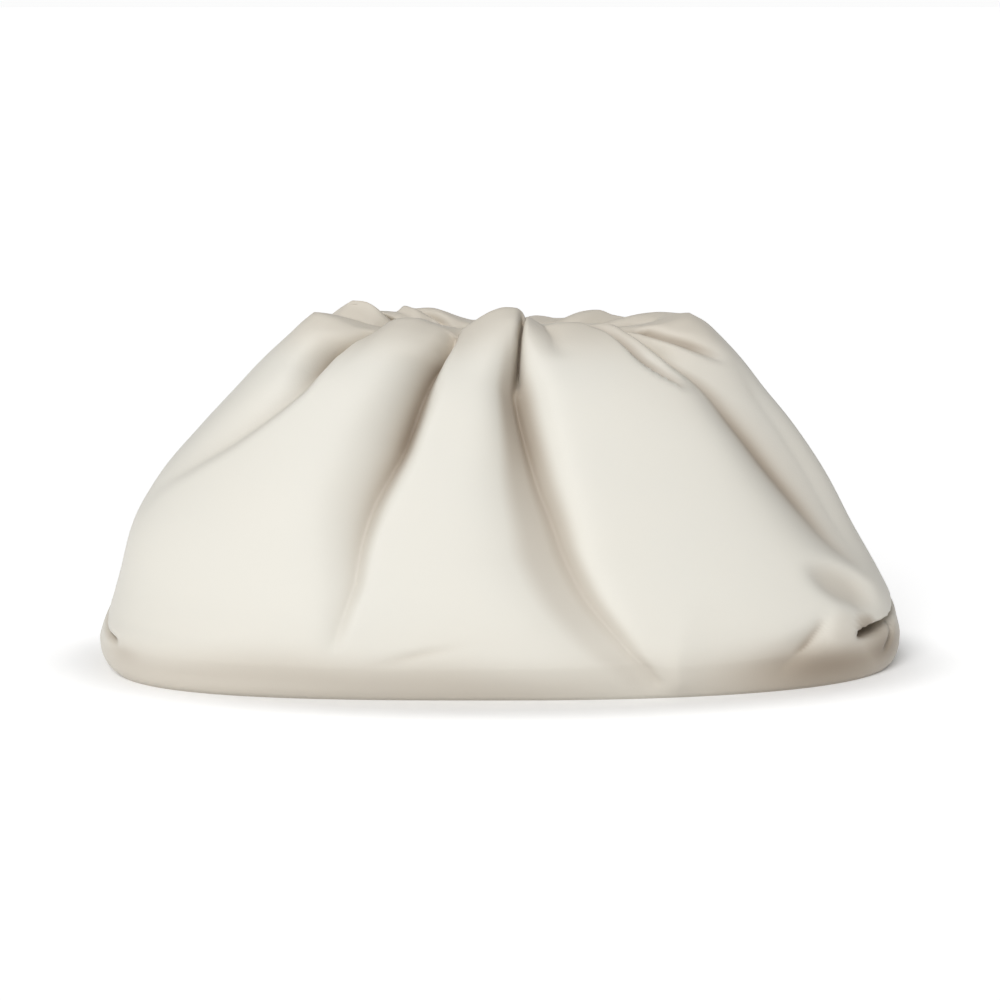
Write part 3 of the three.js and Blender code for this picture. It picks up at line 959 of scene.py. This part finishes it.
@dataclass(frozen=True)
class PaintedFootShade:
    """The painted shade where the leather turns under, away from the light. Heights are shares of the bag's.

    Attributes:
        foot: tone at the foot.
        foot_full: height up to which it lasts.
        foot_end: height where it is gone.
        long_wave: how far the height of that edge swings slowly along the bag.
        short_wave: how far it swings fast.
        ridge_share: middle of the foot ridge, as a share of the half.
        ridge_width: half-width of the place that it lights up.
        ridge: how much tone it loses there.
        haze: tone of the wider and fainter band above.
        haze_full: height up to which that lasts.
        haze_end: height where it is gone.
        ends: share of all this that is lost at the bag's ends.
        ends_from: share of the half where that sets in.
        ends_full: share where it is complete.
    """

    foot: float = 0.38
    foot_full: float = 0.05
    foot_end: float = 0.17
    long_wave: float = 0.014
    short_wave: float = 0.006
    ridge_share: float = 0.3
    ridge_width: float = 0.2
    ridge: float = 0.2
    haze: float = 0.10
    haze_full: float = 0.08
    haze_end: float = 0.32
    ends: float = 0.35
    ends_from: float = 0.78
    ends_full: float = 0.93

    def read(self, height: np.ndarray, share: np.ndarray) -> np.ndarray:
        """Reads the painted shade at some places.

        Args:
            height: heights, in the units of Station.
            share: places along the half.

        Returns:
            The tone at each place.
        """
        wavy = height + self.long_wave * np.sin(6.0 * share + 1.0) + self.short_wave * np.sin(17.0 * share)
        at_foot = self.foot - self.ridge * bell(share - self.ridge_share, self.ridge_width)
        tone = (1.0 - smooth_step(self.foot_full, self.foot_end, wavy)) * at_foot
        tone += self.haze * (1.0 - smooth_step(self.haze_full, self.haze_end, height))
        return tone * (1.0 - self.ends * smooth_step(self.ends_from, self.ends_full, np.abs(share)))


@dataclass(frozen=True)
class SheetGrid:
    """The rows and columns of the leather's mesh, and where they crowd.

    Attributes:
        columns: mesh columns from end to end.
        wall_rows: mesh rows of the front wall and of the back wall.
        lip_rows: mesh rows of each lip.
        hem_rows: mesh rows of each hem.
        base_rows: mesh rows of half the base.
        tuck_height: height around which rows crowd for the corner tucks, as a share of the bag's height.
        tuck_crowd: how strongly they do.
        tuck_reach: how far from it, as a share of the height.
        lip_crowd: how strongly rows crowd to the lip's crest.
        lip_reach: how far below it, as a share of the height.
        end_crowd: how strongly columns crowd to the bag's ends.
        end_reach: how far from them, in the units of a share.
        fold_crowd: how strongly columns crowd to a deep fold.
        fold_reach: how far from its line, in flank widths.
        deep_fold: depth from which a fold draws them fully, in millimetres.
        wide_flank: width of a flank that draws them once as strongly, in millimetres.
        most_narrow: the most that a narrow flank adds to that.
        even_below: height below which the columns go over to even steps, which they have at the foot.
        blend_rows: how many rows each way are blended into one.
    """

    columns: int = 204
    wall_rows: int = 86
    lip_rows: int = 12
    hem_rows: int = 3
    base_rows: int = 9
    tuck_height: float = 0.13
    tuck_crowd: float = 1.2
    tuck_reach: float = 0.09
    lip_crowd: float = 1.5
    lip_reach: float = 0.08
    end_crowd: float = 0.6
    end_reach: float = 0.12
    fold_crowd: float = 2.0
    fold_reach: float = 1.3
    deep_fold: float = 5.0
    wide_flank: float = 12.0
    most_narrow: float = 3.0
    even_below: float = 0.12
    blend_rows: int = 12

    def row_heights(self) -> np.ndarray:
        """Heights of one half's rows from the foot to the hem's end, closest at the tucks and the lip.

        The lip goes from 1 to LIP_END, and the hem's rows go on past it by HEM_STEP each.

        Returns:
            The rows' heights, in the units of Station.
        """
        height = np.linspace(0.0, 1.0, 801)
        at_tucks = self.tuck_crowd * bell(height - self.tuck_height, self.tuck_reach)
        run = running_sum(1.0 + at_tucks + self.lip_crowd * bell(height - 1.0, self.lip_reach))
        wall = np.interp(np.linspace(0.0, run[-1], self.wall_rows), run, height)
        lip = np.linspace(1.0, LIP_END, self.lip_rows + 1)[1:]
        hem = LIP_END + HEM_STEP * np.arange(1, self.hem_rows + 1)
        return np.concatenate([wall, lip, hem])

    def column_shares(self, height: float, folds: tuple[Fold, ...], half: float) -> np.ndarray:
        """Places of the columns along one row, crowded where the folds are narrow and deep.

        Args:
            height: the row's height.
            folds: the folds of this side.
            half: half the row's length.

        Returns:
            The columns' shares from -1 to 1.
        """
        grid = np.linspace(-1.0, 1.0, 1601)
        weight = 1.0 + self.end_crowd * bell(1.0 - np.abs(grid), self.end_reach)
        for fold in folds:
            at = float(fold.column("share", min(height, LIP_END)))
            deep = min(abs(float(fold.column("depth", height))) / self.deep_fold, 1.0)
            for name, way in (("left", -1.0), ("right", 1.0)):
                width = float(fold.column(name, height))
                on_flank = (grid - at) * way > 0
                near = np.exp(-(((grid - at) * half / (width * MM) / self.fold_reach) ** 4))
                narrow = min(self.wide_flank / width, self.most_narrow)
                weight += on_flank * self.fold_crowd * fold.crowd * deep * narrow * near
        run = running_sum(weight)
        even = np.linspace(-1.0, 1.0, self.columns + 1)
        keep_even = float(smooth_step(self.even_below, 0.0, np.array(height)))
        crowded = np.interp(np.linspace(0.0, run[-1], self.columns + 1), run, grid)
        return crowded + (even - crowded) * keep_even

    def even_out(self, rows: list[np.ndarray]) -> np.ndarray:
        """Blends each row with its neighbours, so that the columns run smoothly up the wall.

        Args:
            rows: the columns' shares in each row.

        Returns:
            The blended rows.
        """
        reach = self.blend_rows
        table = np.pad(np.stack(rows), ((reach, reach), (0, 0)), mode="edge")
        weight = np.exp(-((np.arange(-reach, reach + 1) / (reach / 2.5)) ** 2) / 2)
        weight /= weight.sum()
        return sum(w * table[k : k + len(rows)] for k, w in enumerate(weight))


@dataclass
class PouchBody:
    """The leather pouch: one sheet with gathers, rolled lips and tucked corners.

    Attributes:
        width: across the corner lobes.
        depth: front to back, a little above the floor.
        height: floor to the crest of the lips.
        leather: thickness of the sheet.
        mouth_length: across the gathered lips.
        lip_spacing: between the crests of the front and back lips.
        lip_end: closed lip at each end of the opening.
        mouth_gap: between the two hems.
        lip_roll: from the crest down to the top of the hem.
        hem_band: height of the upright hem.
        base_draw: how far the base's inner rows draw in at the bag's ends, as a share of the length, so that
            the last faces there are no slivers.
        fold_form: what its folds share.
        foot_tone: the painted shade at its foot.
        grid: the rows and columns of its mesh.
    """

    UV_NAME = "sheet"
    PAINTED_SHADE_NAME = "deep"
    GATHER_NAME = "gather"

    width: float = 380.0 * MM
    depth: float = 160.0 * MM
    height: float = 168.0 * MM
    leather: float = 2.0 * MM
    mouth_length: float = 190.0 * MM
    lip_spacing: float = 28.0 * MM
    lip_end: float = 25.0 * MM
    mouth_gap: float = 6.0 * MM
    lip_roll: float = 10.0 * MM
    hem_band: float = 11.0 * MM
    base_draw: float = 0.008
    fold_form: FoldForm = FoldForm()
    foot_tone: PaintedFootShade = PaintedFootShade()
    grid: SheetGrid = SheetGrid()

    def outline(self, height: float, side: Side) -> tuple[np.ndarray, np.ndarray]:
        """Half of the plain wall's level outline, as a fine polyline from the left end to the right.

        Args:
            height: share of the bag's height.
            side: front or back.

        Returns:
            The polyline's X and Y.
        """
        read = {name: float(read_rows(WALL, "at", name, height)) for name in Section._fields[1:]}
        left = self.widen(self.mouth_length, self.width, read["left"])
        right = self.widen(self.mouth_length, self.width, read["right"])
        deep = self.widen(self.lip_spacing, self.depth, read[side.name.lower()])
        return self.superellipse(left, right, deep, read["square_left"], read["square_right"], side)

    @staticmethod
    def widen(mouth: float, foot: float, share: float) -> float:
        """Half of a size on its way from the mouth's to the foot's."""
        return (mouth + (foot - mouth) * share) / 2

    def slit(self, side: Side) -> tuple[np.ndarray, np.ndarray]:
        """Half of the opening's outline between the hems, as outline gives it."""
        reach = self.mouth_length / 2 - self.lip_end
        return self.superellipse(reach, reach, self.mouth_gap / 2, 4.0, 4.0, side)

    @staticmethod
    def superellipse(
        left: float, right: float, deep: float, square_left: float, square_right: float, side: Side
    ) -> tuple[np.ndarray, np.ndarray]:
        """Half a superellipse with its own reach and exponent at each end.

        Args:
            left: reach to the left.
            right: reach to the right.
            deep: reach to the front or back.
            square_left: exponent of the left quarter.
            square_right: exponent of the right quarter.
            side: front or back.

        Returns:
            X and Y of a fine polyline.
        """
        angle = np.linspace(math.pi, 0.0, 1441)
        cosine, sine = np.cos(angle), np.abs(np.sin(angle))
        power = 2.0 / np.where(cosine < 0, square_left, square_right)
        x = np.abs(cosine) ** power * np.where(cosine < 0, -left, right)
        return x, side.value * deep * sine**power

    @staticmethod
    def walk(line: tuple[np.ndarray, np.ndarray], share: np.ndarray) -> tuple[np.ndarray, np.ndarray, float]:
        """Places on a polyline by their share of its length.

        Args:
            line: the polyline's X and Y.
            share: places from -1 at its start to 1 at its end.

        Returns:
            X and Y of the places, and half of the line's length.
        """
        x, y = line
        run = np.concatenate([[0.0], np.cumsum(np.hypot(np.diff(x), np.diff(y)))])
        at = (share + 1.0) / 2.0 * run[-1]
        return np.interp(at, run, x), np.interp(at, run, y), run[-1] / 2.0

    def plain_half(self, side: Side) -> Grid:
        """The half without folds, as a grid of places.

        Args:
            side: front or back.

        Returns:
            The arrays point, share, height and reach, which is half of each row's length.
        """
        folds = FRONT_FOLDS if side is Side.FRONT else BACK_FOLDS
        heights = self.grid.row_heights()
        shape = (len(heights), self.grid.columns + 1)
        point, reach = np.zeros(shape + (3,)), np.zeros(shape)
        lines = [self.outline(min(height, 1.0), side) for height in heights]
        lengths = [self.walk(line, np.zeros(1))[2] for line in lines]
        rows = [self.grid.column_shares(at, folds, length) for at, length in zip(heights, lengths)]
        share = self.grid.even_out(rows)
        for i, (height, line) in enumerate(zip(heights, lines)):
            x, y, reach[i] = self.walk(line, share[i])
            z = np.full(shape[1], min(height, 1.0) * self.height)
            if height > 1.0:
                turn = min((height - 1.0) / (LIP_END - 1.0), 1.0) * math.pi / 2
                down = max(height - LIP_END, 0.0) / (HEM_STEP * self.grid.hem_rows)
                slit_x, slit_y, _ = self.walk(self.slit(side), share[i])
                x += (slit_x - x) * math.sin(turn)
                y += (slit_y - y) * math.sin(turn)
                z -= self.lip_roll * (1.0 - math.cos(turn)) + self.hem_band * down
            point[i] = np.stack([x, y, z], axis=-1)
        height = np.repeat(heights[:, None], shape[1], 1)
        return {"point": point, "share": share, "height": height, "reach": reach}

    def fold_moves(self, fold: Fold, half: Grid) -> tuple[np.ndarray, np.ndarray, np.ndarray]:
        """How far one fold pushes the leather in and draws it sideways, and the shade that it paints.

        Args:
            fold: the fold.
            half: the grid from plain_half.

        Returns:
            The way in and the way to the right, in metres, and the painted shade's tone between 0 and 1.
        """
        form, height = self.fold_form, half["height"]
        depth = fold.column("depth", height) * MM
        depth *= smooth_step(LIP_END + 0.02, LIP_END - 0.04, height)
        depth *= smooth_step(0.0, 0.1, 1.0 - np.abs(half["share"]))
        offset = (half["share"] - fold.column("share", height)) * half["reach"]
        x = offset / (np.where(offset < 0, fold.column("left", height), fold.column("right", height)) * MM)
        deepest = max(abs(row.depth) for row in fold.stations) * MM
        lean = np.where(x < 0, fold.left_lean, -fold.right_lean) * MM
        sideways = lean * form.lean(x) * np.abs(depth) / deepest
        tone = fold.tone * form.strength(depth) * form.shade(x, fold.right_tone, fold.left_tone)
        return depth * form.section(x, fold.left_edge, fold.right_edge), sideways, tone

    def tuck_moves(self, side: Side, half: Grid) -> tuple[np.ndarray, np.ndarray, np.ndarray]:
        """How far the tucks push the leather in, how far the wall hangs over them, and their painted shade.

        Args:
            side: front or back.
            half: the grid from plain_half.

        Returns:
            The way in and the way down, in metres, and the painted shade's tone between 0 and 1.
        """
        inward, down, tone = (np.zeros_like(half["share"]) for _ in range(3))
        from_end = 1.0 - np.abs(half["share"])
        for tuck in TUCKS:
            if tuck.side is not side:
                continue
            here = np.sign(half["share"]) == tuck.end
            offset = (half["height"] - tuck.column("height", from_end)) * self.height
            width = np.where(offset < 0, tuck.column("below", from_end), tuck.column("above", from_end)) * MM
            x = offset / width
            depth = tuck.column("depth", from_end) * MM * here
            strength = np.clip(depth / (tuck.full_depth * MM), 0.0, 1.0)
            inward += depth * self.fold_form.section(x, tuck.below_edge, tuck.above_edge)
            hang = np.where(x > 0, (1.0 - bell(x, tuck.hang_from)) * bell(x, tuck.hang_to), 0.0)
            down += tuck.droop * MM * strength * hang
            tone = np.maximum(tone, strength * bell(x, 1.0))
        return inward, down, tone

    def dent_moves(self, half: Grid) -> tuple[np.ndarray, np.ndarray]:
        """How far the front's soft dents push the leather in, and their painted shade.

        Args:
            half: the front's grid from plain_half.

        Returns:
            The way in, in metres, and the painted shade's tone between 0 and 1.
        """
        inward, tone = np.zeros_like(half["share"]), np.zeros_like(half["share"])
        for dent in FRONT_DENTS:
            along = (half["share"] - dent.share) * half["reach"]
            up = (half["height"] - dent.height) * self.height
            turn = math.radians(dent.turn)
            u = (along * math.cos(turn) + up * math.sin(turn)) / (dent.along * MM)
            v = (up * math.cos(turn) - along * math.sin(turn)) / (dent.up * MM)
            hollow = np.exp(-(np.hypot(u, v) ** dent.crisp))
            inward += dent.depth * MM * hollow
            tone = np.maximum(tone, dent.tone * hollow)
        return inward, tone

    def folded_half(self, side: Side) -> Grid:
        """The half with its folds, tucks and risen crest.

        Args:
            side: front or back.

        Returns:
            The grid from plain_half with the moved points, and deep, the painted shade, and gather between 0
            and 1.
        """
        half = self.plain_half(side)
        point, height, share = half["point"], half["height"], half["share"]
        along = unit(np.gradient(point, axis=1))
        up = unit(np.gradient(point, axis=0))
        normal = unit(np.cross(along, up)) * -side.value
        folds = FRONT_FOLDS if side is Side.FRONT else BACK_FOLDS
        inward, sideways, tone = (np.zeros_like(share) for _ in range(3))
        for fold in folds:
            push, draw, shade = self.fold_moves(fold, half)
            inward += push
            sideways += draw
            tone = np.maximum(tone, shade)
        push, down, shade = self.tuck_moves(side, half)
        inward += push
        tone = np.maximum(tone, shade)
        if side is Side.FRONT:
            push, shade = self.dent_moves(half)
            inward += push
            tone = np.maximum(tone, shade)
        inward *= smooth_step(0.0, 0.05, height)
        crest = FRONT_CREST if side is Side.FRONT else BACK_CREST
        rise = read_rows(crest, "share", "rise", share) * MM
        rise *= smooth_step(0.82, 1.0, height) * smooth_step(LIP_END, 1.02, height)
        moved = point - normal * inward[..., None] + along * sideways[..., None] - up * down[..., None]
        moved[..., 2] += rise
        half["point"] = moved
        # deep is the painted shade: that of the folds, tucks and dents, and the foot's.
        half["deep"] = np.clip(tone + self.foot_tone.read(height, share), 0.0, 1.0)
        # gather marks the gathered top: it carries the top's small wrinkles and its painted shade.
        half["gather"] = smooth_step(0.86, 1.03, height) * smooth_step(LIP_END + 0.05, LIP_END, height)
        return half

    @staticmethod
    def join_ends(front: np.ndarray, back: np.ndarray, reach: int = 8) -> None:
        """Draws the first and last columns of the halves together, so that the sheet has no seam at its ends.

        Args:
            front: one array of the front half, which is changed.
            back: the same array of the back half, which is changed.
            reach: how many columns take part in the change.
        """
        for end, way in ((0, 1), (-1, -1)):
            gap = back[:, end] - front[:, end]
            for step in range(reach):
                weight = 0.5 * (1.0 - step / reach) ** 2
                front[:, end + way * step] += gap * weight
                back[:, end + way * step] -= gap * weight

    def sheet(self) -> Grid:
        """The whole sheet, from the front hem over the base to the back hem.

        Returns:
            The arrays point, deep, gather and uv, with a row for each line across the sheet.
        """
        front, back = self.folded_half(Side.FRONT), self.folded_half(Side.BACK)
        steps = np.linspace(0.0, 1.0, 2 * self.grid.base_rows + 1)[1:-1]
        sheet = {}
        for name in ("point", "deep", "gather"):
            self.join_ends(front[name], back[name])
            start, end = front[name][0], back[name][0]
            if name == "point":
                base = np.stack([start + (end - start) * step for step in steps])
                base[:, 1:-1, 0] *= 1.0 - self.base_draw * np.sin(math.pi * steps)[:, None]
            else:
                base = np.zeros((len(steps), len(start)))
            sheet[name] = np.concatenate([front[name][::-1], base, back[name]])
        run = np.linalg.norm(np.diff(sheet["point"], axis=0), axis=-1).mean(axis=1)
        up = np.concatenate([[0.0], np.cumsum(run)])
        across = np.linspace(-self.width / 2, self.width / 2, self.grid.columns + 1)
        sheet["uv"] = np.stack(np.broadcast_arrays(across[None, :], up[:, None]), axis=-1)
        return sheet

    def build(self) -> bpy.types.Object:
        """Makes the pouch's mesh object.

        Returns:
            The object, riding on nothing yet.
        """
        sheet = self.sheet()
        rows, columns = sheet["deep"].shape
        shell = bmesh.new()
        bmesh.ops.create_grid(shell, x_segments=columns - 1, y_segments=rows - 1, size=1.0)
        uv_layer = shell.loops.layers.uv.new(self.UV_NAME)
        painted_shade_layer = shell.verts.layers.float.new(self.PAINTED_SHADE_NAME)
        gather_layer = shell.verts.layers.float.new(self.GATHER_NAME)
        cell = {}
        for vert in shell.verts:
            column = round((vert.co.x + 1.0) / 2.0 * (columns - 1))
            row = round((vert.co.y + 1.0) / 2.0 * (rows - 1))
            cell[vert] = (row, column)
        for vert, at in cell.items():
            vert.co = Vector(sheet["point"][at])
            vert[painted_shade_layer] = sheet["deep"][at]
            vert[gather_layer] = sheet["gather"][at]
        for face in shell.faces:
            for loop in face.loops:
                loop[uv_layer].uv = sheet["uv"][cell[loop.vert]]
        bmesh.ops.remove_doubles(shell, verts=shell.verts[:], dist=0.02 * MM)
        bmesh.ops.recalc_face_normals(shell, faces=shell.faces[:])
        mesh = bpy.data.meshes.new("leather_pouch")
        shell.to_mesh(mesh)
        shell.free()
        mesh.shade_smooth()
        pouch = bpy.data.objects.new("leather_pouch", mesh)
        bpy.context.scene.collection.objects.link(pouch)
        wall = pouch.modifiers.new("thickness", "SOLIDIFY")
        wall.thickness = self.leather
        wall.offset = -1.0
        return pouch

    def dress(self, pouch: bpy.types.Object, finish: LeatherFinish) -> None:
        """Gives the pouch its leather and puts it in the place of the plain solid.

        Args:
            pouch: the object from build.
            finish: its leather.
        """
        pouch.data.materials.append(finish.material("cream_nappa"))
        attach(pouch, "root")
        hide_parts("front_panel", "back_panel", "base_panel")


@dataclass
class MouthFrame:
    """The hidden frame inside the mouth, which keeps its solid and gets its finish here."""

    node: str = "mouth_frame"

    def dress(self, finish: SteelFinish) -> None:
        """Puts the finish on the solid.

        Args:
            finish: its metal.
        """
        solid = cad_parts[self.node]
        solid.data.materials.clear()
        solid.data.materials.append(finish.material("brushed_steel"))


@dataclass
class Studio:
    """The floor, the lights and the camera.

    Attributes:
        elevation: how far the camera looks down, in degrees.
        distance: from the camera to the point that it looks at.
        aim_height: height of that point.
        lens: focal length in millimetres, for a sensor 36 mm wide.
        floor_size: side of the floor.
        key_from: the way to the key light.
        key_spread: how wide the key light looks, in degrees.
        key_power: the key's strength.
        sky: the sky's brightness.
        sky_until: how far towards +Y the sky keeps it, as the Y of its direction.
        backdrop: brightness of the white part behind the bag.
        backdrop_from: the Y from which it is all backdrop.
    """

    elevation: float = 12.0
    distance: float = 1.1216
    aim_height: float = 0.0777
    lens: float = 85.0
    floor_size: float = 160.0
    key_from: tuple[float, float, float] = (-0.29, -0.72, 0.63)
    key_spread: float = 35.0
    key_power: float = 2.1
    sky: float = 0.23
    sky_until: float = 0.80
    backdrop: float = 0.97
    backdrop_from: float = 0.95

    def build(self) -> None:
        """Makes the whole studio."""
        self.make_camera()
        self.make_floor()
        self.make_lights()
        view = bpy.context.scene.view_settings
        view.view_transform = "Standard"
        view.look = "None"

    def make_camera(self) -> None:
        """Makes the camera and looks through it."""
        data = bpy.data.cameras.new("camera")
        data.lens = self.lens
        data.sensor_width = 36.0
        camera = bpy.data.objects.new("camera", data)
        bpy.context.scene.collection.objects.link(camera)
        tilt = math.radians(self.elevation)
        back = Vector((0.0, -math.cos(tilt), math.sin(tilt)))
        camera.location = Vector((0.0, 0.0, self.aim_height)) + back * self.distance
        camera.rotation_euler = (math.pi / 2 - tilt, 0.0, 0.0)
        bpy.context.scene.camera = camera

    def make_floor(self) -> None:
        """Makes the white floor."""
        sheet = bmesh.new()
        bmesh.ops.create_grid(sheet, x_segments=8, y_segments=8, size=self.floor_size / 2)
        mesh = bpy.data.meshes.new("floor")
        sheet.to_mesh(mesh)
        sheet.free()
        floor = bpy.data.objects.new("floor", mesh)
        bpy.context.scene.collection.objects.link(floor)
        mesh.materials.append(FloorFinish().material("white_paper"))

    def make_lights(self) -> None:
        """Makes a soft key from the front left, and the sky."""
        self.make_sky()
        data = bpy.data.lights.new("key", "SUN")
        data.angle = math.radians(self.key_spread)
        data.energy = self.key_power
        key = bpy.data.objects.new("key", data)
        key.rotation_euler = Vector(self.key_from).to_track_quat("Z", "Y").to_euler()
        bpy.context.scene.collection.objects.link(key)

    def make_sky(self) -> None:
        """Makes the sky: a dim grey, with a white backdrop low down behind the bag."""
        sheet = NodeSheet(bpy.data.worlds.new("studio"), "Background")
        way = sheet.wire("ShaderNodeTexCoord", "Generated")
        back = sheet.wire("ShaderNodeSeparateXYZ", "Y", None, {"Vector": way})
        stops = [(self.sky_until, grey(self.sky)), (self.backdrop_from, grey(self.backdrop))]
        tone = sheet.wire("ShaderNodeValToRGB", "Color", {"stops": stops}, {"Fac": back})
        sheet.feed(sheet.shader, {"Color": tone})
        bpy.context.scene.world = sheet.block


def main() -> None:
    """Builds the studio and dresses the bag."""
    logging.basicConfig(level=logging.INFO, format="%(name)s: %(message)s")
    Studio().build()
    body = PouchBody()
    pouch = body.build()
    body.dress(pouch, LeatherFinish())
    log.info("%s: %d faces", pouch.name, len(pouch.data.polygons))
    MouthFrame().dress(SteelFinish())
    log.info("mouth_frame: dressed")


if __name__ == "__main__":
    main()
